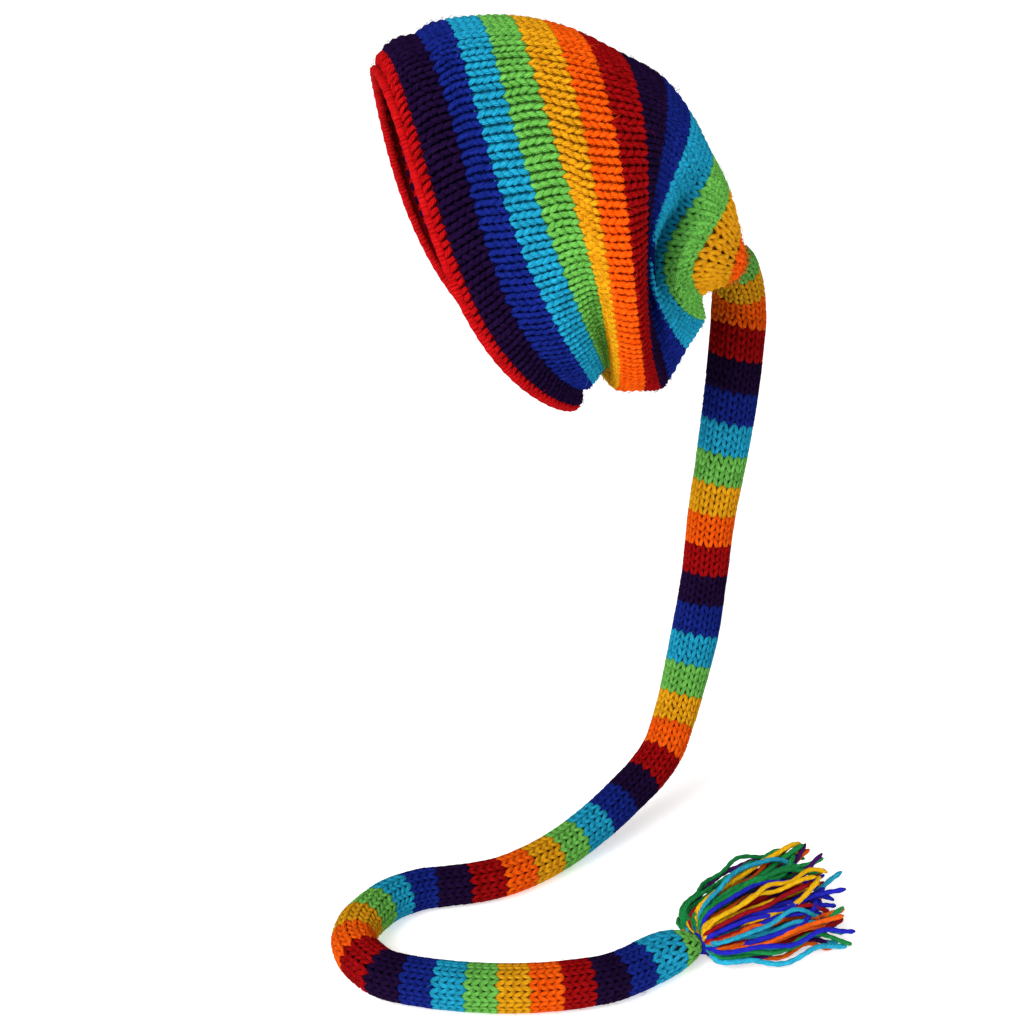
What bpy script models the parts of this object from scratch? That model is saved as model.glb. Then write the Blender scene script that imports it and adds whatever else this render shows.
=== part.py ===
"""Knit tail beanie: a striped knitted crown that folds down into a long knitted tail with a tassel.

Metres, +Z up. The wearer faces -Y, the wearer's left side is +X.
The origin is the top of the hollow, where the crown sits on the head.
"""
from math import cos, log, pi, radians, sin

import bmesh
import bpy
import numpy as np
from mathutils import Vector

# Driving dimensions
CROWN_REACH = 0.220       # front of the rim to the mouth of the tail, along Y
CROWN_DROP = 0.220        # top of the crown to the back of the rim, along Z
CROWN_WIDTH = 0.180       # across the widest row of stitches, along X
FOLD_DEPTH = 0.036        # how far the slack fabric is pushed in at its deepest crease
BOW_DEPTH = 0.036         # how far the rows swing forward at the sides of the head
GROOVE_DEPTH = 0.0026     # of the groove behind the rim
CREASE_DEPTH = 0.022      # of the crease down each side of the cone
KNIT_WALL = 0.0048        # one layer of the knitted fabric
ROW_FULLNESS = 0.88       # below 1 the rows are fuller than an ellipse
SEAM_GAP = 0.0005         # clearance between two pieces that meet
RIM_LIP = 0.0024          # how far the rounded edge stands past the last row
TAIL_WIDTH = 0.0355       # across the tail where it leaves the crown's fold
TASSEL_LENGTH = 0.086     # from the tie to the ends of the yarns
TASSEL_SPREAD = 0.080     # across the fanned yarns
TASSEL_HEIGHT = 0.044     # of the heap of yarns above what it lies on
TASSEL_NECK = 0.020       # across the gathered head behind the tie
LOCK_WIDTH = 0.016        # across one lock of yarns
LOCK_OPENING = 0.48       # below 1 the locks spread soon after the tie
LOCK_WIDTHS = (0.75, 0.35, -0.25)  # of the lock's width: at the tie, added in the middle, added at the end
HEAD_WIDTHS = (0.72, 0.95, 1.0, 0.9)  # of the neck's width, along the gathered head
TAIL_WOOL = "turquoise"   # one yarn stands for the stripes of the tail
TASSEL_WOOL = "blue"      # and one for the yarns of the tassel
FLOOR = -0.498            # the level on which the tail and the tassel lie

# Faces of the solids
ROUND_SIDES = 44          # around the crown
ROWS_PER_STRIPE = 3       # stations along each stripe of the crown
TAIL_POINTS = 72          # along the tail
LOCK_SIDES = 8            # around one lock of the tassel
HEAD_SIDES = 10           # around its gathered head
LOCK_STATIONS = 8         # along one lock
TASSEL_GRAIN = 0.0044     # the size of the faces of the fused tassel
PROBE = 0.04              # stripes or radians to the points beside one, where its direction is read
SLANT_PROBE = 0.6         # stripes to the rows either side that set the wall's slant, wide enough for creases
SHARP_EDGE = 60           # degrees above which an edge is shaded sharp

# The edges between the stripes, from the rim to the mouth of the tail.
# top and bottom are the row's points in the middle plane, y as a share of CROWN_REACH and z of CROWN_DROP.
# half is the half width as a share of CROWN_WIDTH / 2, and shift moves the row aside by the same share.
# bow is a share of BOW_DEPTH and is greatest at bow_at, in degrees round from the top.
# tuck is a share of FOLD_DEPTH, centred on tuck_at and tuck_span wide, in degrees from the top.
# turn swings the row about the vertical, in degrees.
ROW_COLUMNS = ("top_y", "top_z", "bottom_y", "bottom_z", "half", "shift",
               "bow", "bow_at", "tuck", "tuck_at", "tuck_span", "turn")
ROWS = (
    (-0.326, -0.111, 0.197, -0.991, 0.865, 0.00, -0.78, 101, 0.00, 100, 40, 0),
    (-0.292, -0.050, 0.214, -0.972, 0.90, 0.00, -0.78, 102, 0.00, 100, 40, 0),
    (-0.214, -0.006, 0.221, -0.943, 0.93, 0.00, -0.64, 104, 0.00, 100, 60, 0),
    (-0.134, 0.016, 0.237, -0.920, 0.98, 0.00, -0.46, 90, 0.00, 120, 40, 0),
    (-0.055, 0.024, 0.264, -0.880, 0.99, 0.00, -0.36, 85, 0.14, 140, 30, 0),
    (0.028, 0.024, 0.272, -0.880, 1.00, 0.00, -0.17, 72, 0.60, 145, 28, 0),
    (0.111, 0.012, 0.290, -0.938, 1.00, 0.00, -0.12, 105, 0.14, 145, 30, 0),
    (0.198, -0.015, 0.365, -0.945, 0.99, 0.00, -0.20, 110, 0.00, 110, 40, 0),
    (0.302, -0.066, 0.416, -0.945, 0.93, 0.00, -0.32, 112, 0.45, 105, 42, 0),
    (0.409, -0.124, 0.439, -0.925, 0.86, 0.00, -0.52, 90, 0.90, 105, 42, 0),
    (0.480, -0.206, 0.495, -0.840, 0.76, 0.00, -0.88, 95, 0.60, 100, 40, 0),
    (0.544, -0.316, 0.548, -0.765, 0.60, 0.01, -0.96, 103, 0.10, 100, 40, 0),
    (0.594, -0.406, 0.540, -0.700, 0.45, 0.05, -0.46, 108, 0.00, 110, 40, -5),
    (0.628, -0.522, 0.598, -0.684, 0.22, -0.02, -0.15, 95, 0.00, 110, 40, 16),
    (0.634, -0.574, 0.625, -0.680, 0.130, -0.105, 0.00, 95, 0.00, 110, 40, 50),
)
RIM_STRIPE = 1            # the rim band is the first stripe
GROOVE_STRIPE = 2         # a shallow groove runs round the crown at this edge
GROOVE_SPAN = 0.30        # half its width, in stripes
CREASE_STRIPE = 10.85     # a crease runs down each side of the cone along this row
CREASE_SPAN = 0.38        # half its width, in stripes
CREASE_AT = 84            # it is deepest here, in degrees from the top
CREASE_REACH = 50         # and fades over as many degrees to either side

# The middle of the tail, from the crown's mouth to the tie, chosen by eye; girth is a share of TAIL_WIDTH.
TAIL_COLUMNS = ("x", "y", "z", "girth")
TAIL_ROUTE = (
    (-0.0100, 0.1390, -0.1380, 0.65),
    (-0.0142, 0.1422, -0.1388, 0.69),
    (-0.0202, 0.1462, -0.1430, 0.75),
    (-0.0290, 0.1505, -0.1535, 0.86),
    (-0.0350, 0.1530, -0.1640, 0.95),
    (-0.0370, 0.1540, -0.1750, 0.99),
    (-0.0365, 0.1540, -0.1870, 1.00),
    (-0.0350, 0.1510, -0.2270, 0.99),
    (-0.0330, 0.1460, -0.2670, 0.94),
    (-0.0300, 0.1400, -0.3050, 0.89),
    (-0.0260, 0.1355, -0.3450, 0.86),
    (-0.0190, 0.1285, -0.3820, 0.89),
    (-0.0090, 0.1180, -0.4180, 0.82),
    (-0.0030, 0.1120, -0.4330, 0.80),
    (0.0060, 0.1040, -0.4470, 0.79),
    (0.0150, 0.0920, -0.4580, 0.78),
    (0.0250, 0.0770, -0.4660, 0.76),
    (0.0360, 0.0610, -0.4730, 0.75),
    (0.0470, 0.0440, -0.4790, 0.74),
    (0.0580, 0.0270, -0.4830, 0.73),
    (0.0700, 0.0080, -0.4845, 0.72),
    (0.0800, -0.0120, -0.4850, 0.71),
    (0.0840, -0.0300, -0.4850, 0.71),
    (0.0850, -0.0470, -0.4850, 0.71),
    (0.0860, -0.0630, -0.4850, 0.72),
    (0.0930, -0.0800, -0.4850, 0.73),
    (0.1060, -0.0930, -0.4845, 0.74),
    (0.1210, -0.1030, -0.4840, 0.76),
    (0.1380, -0.1070, -0.4840, 0.77),
    (0.1570, -0.1020, -0.4840, 0.78),
    (0.1730, -0.0890, -0.4840, 0.78),
    (0.1880, -0.0550, -0.4840, 0.78),
    (0.1960, -0.0180, -0.4840, 0.78),
    (0.1960, 0.0180, -0.4840, 0.77),
    (0.1905, 0.0370, -0.4840, 0.77),
    (0.1800, 0.0565, -0.4840, 0.78),
    (0.1740, 0.0690, -0.4845, 0.68),
    (0.1710, 0.0770, -0.4850, 0.50),
)

# The locks of the tassel: fan and rise are shares of half the spread and of the height, length of the whole.
LOCK_COLUMNS = ("fan", "rise", "length")
LOCKS = (
    (-0.70, 0.18, 0.88),
    (-0.42, 0.20, 0.94),
    (-0.08, 0.18, 0.92),
    (0.30, 0.20, 0.97),
    (0.66, 0.18, 0.98),
    (0.98, 0.24, 0.92),
    (-0.56, 0.46, 0.88),
    (-0.24, 0.52, 0.98),
    (0.14, 0.50, 0.95),
    (0.50, 0.52, 1.00),
    (0.84, 0.44, 0.92),
    (-0.26, 0.78, 0.84),
    (0.12, 0.80, 0.92),
    (0.48, 0.78, 0.94),
)

# Yarn colours, in the order in which they repeat from the rim
YARNS = (
    ("red", (0.42, 0.01, 0.02)),
    ("purple", (0.03, 0.005, 0.05)),
    ("blue", (0.02, 0.03, 0.30)),
    ("turquoise", (0.02, 0.38, 0.58)),
    ("green", (0.14, 0.55, 0.07)),
    ("yellow", (0.83, 0.42, 0.01)),
    ("orange", (0.95, 0.12, 0.005)),
)


def smooth_through(rows, place):
    """A smooth curve through the rows of a table, read at a place counted in rows."""
    last = len(rows) - 1
    row = min(int(place), last - 1)
    part = place - row
    before = rows[max(row - 1, 0)]
    start = rows[row]
    end = rows[row + 1]
    after = rows[min(row + 2, last)]
    return 0.5 * (2 * start + (end - before) * part
                  + (2 * before - 5 * start + 4 * end - after) * part ** 2
                  + (3 * start - before - 3 * end + after) * part ** 3)


ROW_TABLE = np.array(ROWS, dtype=float)
ROUTE_TABLE = np.array(TAIL_ROUTE, dtype=float)


def fabric_point(stripe, angle):
    """A point of the crown's outer face: stripe counts rows of ROWS, angle goes round from the top."""
    row = dict(zip(ROW_COLUMNS, smooth_through(ROW_TABLE, stripe)))
    top = np.array((row["top_y"] * CROWN_REACH, row["top_z"] * CROWN_DROP))
    bottom = np.array((row["bottom_y"] * CROWN_REACH, row["bottom_z"] * CROWN_DROP))
    middle = (top + bottom) / 2
    reach = (top - bottom) / 2
    groove = GROOVE_DEPTH * np.exp(-((stripe - GROOVE_STRIPE) / GROOVE_SPAN) ** 2)
    reach = reach * (1 - groove / np.hypot(*reach))
    backward = np.array((-reach[1], reach[0])) / np.hypot(*reach)
    if backward[0] < 0:
        backward = -backward
    round_share = abs((angle + pi) % (2 * pi) - pi) / pi
    swing = sin(pi * round_share ** (log(0.5) / log(row["bow_at"] / 180))) ** 2
    y, z = middle + cos(angle) * reach + row["bow"] * BOW_DEPTH * swing * backward
    sideways = abs(sin(angle))
    tuck = row["tuck"] * FOLD_DEPTH * np.exp(-((round_share * 180 - row["tuck_at"]) / row["tuck_span"]) ** 2)
    crease = (CREASE_DEPTH * np.exp(-((stripe - CREASE_STRIPE) / CREASE_SPAN) ** 2)
              * np.exp(-((round_share * 180 - CREASE_AT) / CREASE_REACH) ** 2))
    half = row["half"] * CROWN_WIDTH / 2 * sideways ** ROW_FULLNESS - (tuck + groove + crease) * sideways
    aside = half if sin(angle) >= 0 else -half
    turn = radians(row["turn"])
    shift = row["shift"] * CROWN_WIDTH / 2
    return np.array((shift + aside * cos(turn), y + aside * sin(turn), z))


def fabric_outward(stripe, angle):
    """The direction that points out of the fabric there."""
    last = len(ROWS) - 1
    before = fabric_point(max(stripe - SLANT_PROBE, 0), angle)
    along = fabric_point(min(stripe + SLANT_PROBE, last), angle) - before
    around = fabric_point(stripe, angle + PROBE) - fabric_point(stripe, angle - PROBE)
    normal = np.cross(around, along)
    return normal / np.linalg.norm(normal)


def new_object(name, mesh, slots):
    """An object of a finished mesh, with its materials."""
    piece = bpy.data.objects.new(name, mesh)
    bpy.context.collection.objects.link(piece)
    for slot in slots:
        mesh.materials.append(slot)
    return piece


def yarn_material(name, colour):
    """Dyed wool of one colour."""
    material = bpy.data.materials.new(name + "_wool")
    material.use_nodes = True
    shader = material.node_tree.nodes["Principled BSDF"]
    shader.inputs["Base Color"].default_value = (*colour, 1.0)
    shader.inputs["Roughness"].default_value = 0.9
    shader.inputs["Metallic"].default_value = 0.0
    return material


def knit_shell(name, first, last, lip, wools):
    """A band of the crown, one layer thick, between two stripe edges; lip rounds its first edge."""
    steps = round(last - first) * ROWS_PER_STRIPE
    places = [min(max(round(first) + step / ROWS_PER_STRIPE, first), last) for step in range(steps + 1)]
    profile = [(place, 0.0) for place in places] + [(place, KNIT_WALL) for place in places[::-1]]
    shell = bmesh.new()
    rings = []
    for place, depth in profile:
        ring = []
        for side in range(ROUND_SIDES):
            angle = 2 * pi * side / ROUND_SIDES
            point = fabric_point(place, angle) - fabric_outward(place, angle) * depth
            ring.append(shell.verts.new(point))
        rings.append(ring)
    if lip:
        rings.append(lip_ring(shell, first))
    for number, ring in enumerate(rings):
        following = rings[(number + 1) % len(rings)]
        stripe = int(profile[min(number, len(profile) - 1)][0] + 0.01) if number < len(profile) else 0
        for side in range(ROUND_SIDES):
            beside = (side + 1) % ROUND_SIDES
            face = shell.faces.new((ring[side], ring[beside], following[beside], following[side]))
            face.smooth = True
            face.material_index = stripe % len(wools)
    bmesh.ops.triangulate(shell, faces=shell.faces[:])
    mesh = bpy.data.meshes.new(name)
    shell.to_mesh(mesh)
    shell.free()
    mesh.set_sharp_from_angle(angle=radians(SHARP_EDGE))
    return new_object(name, mesh, wools)


def lip_ring(shell, place):
    """The round of the rim's edge: one ring half a wall deep, a little past the edge."""
    ring = []
    for side in range(ROUND_SIDES):
        angle = 2 * pi * side / ROUND_SIDES
        point = fabric_point(place, angle)
        onward = point - fabric_point(place + PROBE, angle)
        onward = onward / np.linalg.norm(onward)
        ring.append(shell.verts.new(point + onward * RIM_LIP - fabric_outward(place, angle) * KNIT_WALL / 2))
    return ring


def build_tail(wool):
    """The tail: a round tube along its route, wide at the crown and slimmer on the floor."""
    curve = bpy.data.curves.new("tail", "CURVE")
    curve.dimensions = "3D"
    curve.bevel_depth = TAIL_WIDTH / 2
    curve.bevel_resolution = 3
    curve.use_fill_caps = True
    spline = curve.splines.new("POLY")
    spline.points.add(TAIL_POINTS - 1)
    last = len(TAIL_ROUTE) - 1
    for number, point in enumerate(spline.points):
        x, y, z, girth = smooth_through(ROUTE_TABLE, last * number / (TAIL_POINTS - 1))
        point.co = (x, y, z, 1.0)
        point.radius = girth
    tail = bpy.data.objects.new("tail", curve)
    bpy.context.collection.objects.link(tail)
    curve.materials.append(wool)
    return tail


def add_tube(mesh, centres, widths, sides):
    """A closed round tube through the centres, added to a bmesh."""
    rings = []
    for number, centre in enumerate(centres):
        ahead = centres[min(number + 1, len(centres) - 1)]
        behind = centres[max(number - 1, 0)]
        facing = (ahead - behind).to_track_quat("Z", "Y")
        ring = []
        for side in range(sides):
            angle = 2 * pi * side / sides
            spoke = Vector((cos(angle), sin(angle), 0)) * widths[number] / 2
            point = centre + facing @ spoke
            point.z = max(point.z, FLOOR)
            ring.append(mesh.verts.new(point))
        rings.append(ring)
    for ring, following in zip(rings, rings[1:]):
        for side in range(sides):
            beside = (side + 1) % sides
            mesh.faces.new((ring[side], ring[beside], following[beside], following[side]))
    mesh.faces.new(rings[0][::-1])
    mesh.faces.new(rings[-1])


def build_tassel(wool):
    """The tassel: a gathered head at the end of the tail, and locks of yarn that fan out on the floor."""
    end = Vector(TAIL_ROUTE[-1][:3])
    before = Vector(TAIL_ROUTE[-2][:3])
    onward = (end - before).normalized()
    flat = Vector((onward.x, onward.y, 0)).normalized()
    across = Vector((-flat.y, flat.x, 0))
    head_start = end + onward * SEAM_GAP
    tie = head_start + onward * TASSEL_NECK / 2
    heap = bmesh.new()
    head = [head_start, (head_start + tie) / 2, tie, tie + flat * TASSEL_NECK / 2]
    add_tube(heap, head, [TASSEL_NECK * share for share in HEAD_WIDTHS], HEAD_SIDES)
    for row in LOCKS:
        lock = dict(zip(LOCK_COLUMNS, row))
        centres = []
        widths = []
        for station in range(LOCK_STATIONS):
            share = station / (LOCK_STATIONS - 1)
            opened = sin(share * pi / 2) ** LOCK_OPENING
            fallen = FLOOR + lock["rise"] * TASSEL_HEIGHT + LOCK_WIDTH * 0.2
            centre = tie + flat * (share * lock["length"] * TASSEL_LENGTH)
            centre += across * (lock["fan"] * opened * TASSEL_SPREAD / 2)
            centre.z = tie.z + (fallen - tie.z) * opened
            centres.append(centre)
            at_tie, in_middle, at_end = LOCK_WIDTHS
            widths.append(LOCK_WIDTH * (at_tie + in_middle * sin(pi * share) + at_end * share))
        add_tube(heap, centres, widths, LOCK_SIDES)
    mesh = bpy.data.meshes.new("tassel")
    heap.to_mesh(mesh)
    heap.free()
    tassel = new_object("tassel", mesh, [wool])
    fuse = tassel.modifiers.new("fuse", "REMESH")
    fuse.mode = "VOXEL"
    fuse.voxel_size = TASSEL_GRAIN
    fuse.use_smooth_shade = True
    return tassel


def build():
    """All the pieces."""
    for leftover in list(bpy.data.objects):
        bpy.data.objects.remove(leftover, do_unlink=True)
    wools = {name: yarn_material(name, colour) for name, colour in YARNS}
    stripes = list(wools.values())
    last = len(ROWS) - 1
    half_gap = SEAM_GAP / 2 / (CROWN_REACH / len(ROWS))
    knit_shell("rim_band", 0.0, RIM_STRIPE - half_gap, True, stripes)
    knit_shell("crown", RIM_STRIPE + half_gap, last, False, stripes)
    build_tail(wools[TAIL_WOOL])
    build_tassel(wools[TASSEL_WOOL])


build()
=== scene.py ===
"""The looks of the knit tail beanie: real rows of stitches over the rim, crown and tail, and the yarn tassel.

Metres, in the part's own frame: +Z up, the wearer faces -Y, the origin is the top of the hollow.
"""
from math import cos, log, pi, radians, sin

import bpy
import numpy as np
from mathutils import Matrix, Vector


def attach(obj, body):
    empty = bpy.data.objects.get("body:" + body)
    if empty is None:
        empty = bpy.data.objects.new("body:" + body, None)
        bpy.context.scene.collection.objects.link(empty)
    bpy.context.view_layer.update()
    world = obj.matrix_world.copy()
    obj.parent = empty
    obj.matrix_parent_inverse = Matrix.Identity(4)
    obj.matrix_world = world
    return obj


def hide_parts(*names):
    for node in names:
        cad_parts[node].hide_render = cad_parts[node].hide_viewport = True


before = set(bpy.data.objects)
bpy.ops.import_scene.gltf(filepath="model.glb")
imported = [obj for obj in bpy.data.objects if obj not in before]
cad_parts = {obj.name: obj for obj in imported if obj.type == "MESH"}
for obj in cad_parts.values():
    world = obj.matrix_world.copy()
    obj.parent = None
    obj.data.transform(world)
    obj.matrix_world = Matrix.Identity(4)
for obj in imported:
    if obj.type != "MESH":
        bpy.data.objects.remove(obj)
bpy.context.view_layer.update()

CHANCE = np.random.default_rng(20)

# The hat's own sizes, as in the part.
CROWN_REACH = 0.220       # front of the rim to the mouth of the tail, along Y
CROWN_DROP = 0.220        # top of the crown to the back of the rim, along Z
CROWN_WIDTH = 0.180       # across the widest row of stitches, along X
FOLD_DEPTH = 0.036        # how far the slack is pushed in at its deepest crease
BOW_DEPTH = 0.036         # how far the rows swing forward at the sides of the head
GROOVE_DEPTH = 0.0026     # of the groove behind the rim
GROOVE_STRIPE = 2
GROOVE_SPAN = 0.30
CREASE_DEPTH = 0.022      # of the crease that runs down each side of the cone
CREASE_STRIPE = 10.85
CREASE_SPAN = 0.38
CREASE_AT = 84            # degrees from the top
CREASE_REACH = 50
ROW_FULLNESS = 0.88       # less than 1 makes a row fuller than an ellipse
TAIL_WIDTH = 0.0355
TASSEL_LENGTH = 0.086
TASSEL_SPREAD = 0.080
TASSEL_HEIGHT = 0.044
LOCK_WIDTH = 0.016
LOCK_OPENING = 0.48       # the less, the sooner the locks fan out
FLOOR = -0.498

# One row for each edge of a stripe, from the rim to the mouth of the tail. Places are shares of CROWN_REACH
# and CROWN_DROP, half and shift of half the width, bow of BOW_DEPTH, tuck of FOLD_DEPTH, the rest in degrees.
ROW_COLUMNS = ("top_y", "top_z", "bottom_y", "bottom_z", "half", "shift",
               "bow", "bow_at", "tuck", "tuck_at", "tuck_span", "turn")
ROWS = np.array((
    (-0.326, -0.111, 0.197, -0.991, 0.865, 0.00, -0.78, 101, 0.00, 100, 40, 0),
    (-0.292, -0.050, 0.214, -0.972, 0.90, 0.00, -0.78, 102, 0.00, 100, 40, 0),
    (-0.214, -0.006, 0.221, -0.943, 0.93, 0.00, -0.64, 104, 0.00, 100, 60, 0),
    (-0.134, 0.016, 0.237, -0.920, 0.98, 0.00, -0.46, 90, 0.00, 120, 40, 0),
    (-0.055, 0.024, 0.264, -0.880, 0.99, 0.00, -0.36, 85, 0.14, 140, 30, 0),
    (0.028, 0.024, 0.272, -0.880, 1.00, 0.00, -0.17, 72, 0.60, 145, 28, 0),
    (0.111, 0.012, 0.290, -0.938, 1.00, 0.00, -0.12, 105, 0.14, 145, 30, 0),
    (0.198, -0.015, 0.365, -0.945, 0.99, 0.00, -0.20, 110, 0.00, 110, 40, 0),
    (0.302, -0.066, 0.416, -0.945, 0.93, 0.00, -0.32, 112, 0.45, 105, 42, 0),
    (0.409, -0.124, 0.439, -0.925, 0.86, 0.00, -0.52, 90, 0.90, 105, 42, 0),
    (0.480, -0.206, 0.495, -0.840, 0.76, 0.00, -0.88, 95, 0.60, 100, 40, 0),
    (0.544, -0.316, 0.548, -0.765, 0.60, 0.01, -0.96, 103, 0.10, 100, 40, 0),
    (0.594, -0.406, 0.540, -0.700, 0.45, 0.05, -0.46, 108, 0.00, 110, 40, -5),
    (0.628, -0.522, 0.598, -0.684, 0.22, -0.02, -0.15, 95, 0.00, 110, 40, 16),
    (0.634, -0.574, 0.625, -0.680, 0.130, -0.105, 0.00, 95, 0.00, 110, 40, 50),
))
LAST_STRIPE = len(ROWS) - 1

# The middle of the tail, x, y, z, and its girth as a share of TAIL_WIDTH.
TAIL_ROUTE = np.array((
    (-0.0100, 0.1390, -0.1380, 0.65),
    (-0.0142, 0.1422, -0.1388, 0.69),
    (-0.0202, 0.1462, -0.1430, 0.75),
    (-0.0290, 0.1505, -0.1535, 0.86),
    (-0.0350, 0.1530, -0.1640, 0.95),
    (-0.0370, 0.1540, -0.1750, 0.99),
    (-0.0365, 0.1540, -0.1870, 1.00),
    (-0.0350, 0.1510, -0.2270, 0.99),
    (-0.0330, 0.1460, -0.2670, 0.94),
    (-0.0300, 0.1400, -0.3050, 0.89),
    (-0.0260, 0.1355, -0.3450, 0.86),
    (-0.0190, 0.1285, -0.3820, 0.89),
    (-0.0090, 0.1180, -0.4180, 0.82),
    (-0.0030, 0.1120, -0.4330, 0.80),
    (0.0060, 0.1040, -0.4470, 0.79),
    (0.0150, 0.0920, -0.4580, 0.78),
    (0.0250, 0.0770, -0.4660, 0.76),
    (0.0360, 0.0610, -0.4730, 0.75),
    (0.0470, 0.0440, -0.4790, 0.74),
    (0.0580, 0.0270, -0.4830, 0.73),
    (0.0700, 0.0080, -0.4845, 0.72),
    (0.0800, -0.0120, -0.4850, 0.71),
    (0.0840, -0.0300, -0.4850, 0.71),
    (0.0850, -0.0470, -0.4850, 0.71),
    (0.0860, -0.0630, -0.4850, 0.72),
    (0.0930, -0.0800, -0.4850, 0.73),
    (0.1060, -0.0930, -0.4845, 0.74),
    (0.1210, -0.1030, -0.4840, 0.76),
    (0.1380, -0.1070, -0.4840, 0.77),
    (0.1570, -0.1020, -0.4840, 0.78),
    (0.1730, -0.0890, -0.4840, 0.78),
    (0.1880, -0.0550, -0.4840, 0.78),
    (0.1960, -0.0180, -0.4840, 0.78),
    (0.1960, 0.0180, -0.4840, 0.77),
    (0.1905, 0.0370, -0.4840, 0.77),
    (0.1800, 0.0565, -0.4840, 0.78),
    (0.1740, 0.0690, -0.4845, 0.68),
    (0.1710, 0.0770, -0.4850, 0.50),
))
TAIL_GATHER = ((0.0035, 0.38), (0.0070, 0.20))   # past its end: distance, and girth as the stitches close
TUCK = 0.0052             # how far the tail reaches into the crown's mouth
TUCK_SHARE = 0.88         # its girth in there, as a share of its girth at the mouth
PATH_STEP = 20            # points of the finely spaced line to one point of the cord's path
TIE_PLACE = 0.0085        # from the tail's end to the middle of the tassel's tie

# The stitches of the crown.
STRIPE_ROWS = 4           # rows of stitches in one stripe
CREASE_ROWS = 6           # and in the stripes that stretch into the crease
CREASE_STRIPES = (10, 11)
MOST_WALES = 72           # stitches round the widest rows
STITCH_WIDTH = 0.0066     # where the crown narrows, rows lose stitches to keep this width
YARN_RADIUS = 0.00170     # of a leg of a stitch
YARN_CROWDING = 0.245     # at most this share of a stitch's width
HEAD_SLIMNESS = 0.30      # how much slimmer the yarn is at the back of a stitch
LOOP_SWAY = 0.175         # how far the legs of a stitch lean, in stitch widths
CONE_SWAY = 0.25          # the same where the crown narrows
CONE_STRIPES = (7, 11)    # between these the lean changes from the one to the other
LOOP_REACH = 0.82         # how far a loop reaches to either side of its row, in rows
LOOP_LIFT = 0.0013        # how far the legs stand in front of the row's middle
# The crown's pieces: name, first stripe, and the stripe that the next one starts with.
CROWN_BANDS = (("crown_front_stitches", 1, 4), ("crown_middle_stitches", 4, 8),
               ("crown_back_stitches", 8, 11), ("cone_stitches", 11, 14))
# How far the columns of stitches sink between the top and the bottom of a row, by stripe, so that
# they run level, in shares of the way round.
WALE_SAG = ((0, 0.0), (2, 0.010), (4, 0.028), (5.5, 0.034), (7, 0.024), (9, 0.004), (10, 0.0), (14, 0.0))

# The sharp ridge beside the crease, where both its sides lie close together.
RIDGE_STRIPE = 9.9
RIDGE_SPAN = 0.7
RIDGE_AT = 108            # degrees from the top
RIDGE_REACH = 40
RIDGE_THINNING = 0.8      # share by which its stitches lie less deep, so that few come through

# The rim.
RIM_ROW = 0.70            # the place of the rim's one row in its stripe
RIM_REACH = 1.20          # its reach, in rows
RIM_LEAN = 0.35           # its lean, as a share of the lean of the other rows
RIM_PAINTED_LIGHT = 1.35           # painted light: the rim is painted this much lighter than the other rows of the same red
RIM_EDGE = 0.0026         # radius of the rolled edge
RIM_INWARD = 0.25         # the stripe place toward which the edge rolls
RIM_BUMPS = (0.06, 0.03)  # how much its stitches swell the edge, once and twice to a stitch
RIM_STATIONS = 8          # points along the edge to a stitch

# The stitches of the tail.
TAIL_STITCH_WIDTH = 0.0072
TAIL_CROWDING = 0.180     # a leg's radius is at most this share of a stitch's width
TAIL_REACH = 0.95         # how far a stitch reaches to either side of its row, in rows
TAIL_LIFT = 0.0019        # how far the legs stand in front of the row's middle
# By stripe: how far the legs lean, in stitch widths, how much painted shade darkens the yarn, deepest where
# the crown shades the tail's top, and how far a row sags at the back, in stripes.
TAIL_SWAY = ((16, 0.25), (38, 0.25), (44, 0.28), (62, 0.28))
TAIL_PAINTED_SHADES = ((17, 0.75), (20, 0.62), (22, 0.64), (24, 0.82), (56, 0.82), (61, 1.0))
TAIL_SKEW = ((18, 0.0), (18.8, 0.20), (21, 0.15), (25, 0.06), (28, 0.0), (61, 0.0))
GRAIN_ASIDE = 0.25        # from a stitch's edge to the middle of its leg, in stitch widths
# Along one leg: place in half turns, and girth as a share of its fullest.
GRAIN = ((0.13, 0.48), (0.37, 1.08), (0.63, 1.00), (0.87, 0.42))
CLOSING_RADIUS = 0.0085   # where the tube is narrower than this, it closes and its stitches lie less deep
# Where the edges of the tail's stripes lie, in metres from the crown's mouth. The first lies inside it.
TAIL_EDGES = ((18, -0.0050), (19, 0.0160), (20, 0.0365), (21, 0.0600), (25, 0.1411), (30, 0.2398),
              (35, 0.3398), (41, 0.4655), (46, 0.5634), (50, 0.6377), (57, 0.7554), (59, 0.7887),
              (60, 0.8133), (61, 0.8330))
ROW_ROOM = 0.8            # this much of the last row has to fit before the tail's end

# How much one stitch, leg or row differs from the next, as a share.
SWAY_VARIES = 0.12
REACH_VARIES = 0.05
GIRTH_VARIES = 0.05
HEAD_WANDERS = 0.03       # in stitch widths
LEG_TONE_VARIES = 0.04
ROW_TONE_VARIES = 0.03

# The backing that shows between the loops: the depths of its two faces, its ends, and its tone, a painted
# shade that darkens the gaps.
BACKING_DEPTHS = (0.0031, 0.0039)
BACKING_STRIPES = (0.15, 13.94)
BACKING_PAINTED_SHADE = 0.28
TAIL_BACKING_DEPTHS = (0.0029, 0.0037)
TAIL_BACKING_SHORT = 0.02   # it ends this much of a stripe before the tail does
TAIL_BACKING_PAINTED_SHADE = 0.09

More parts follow.
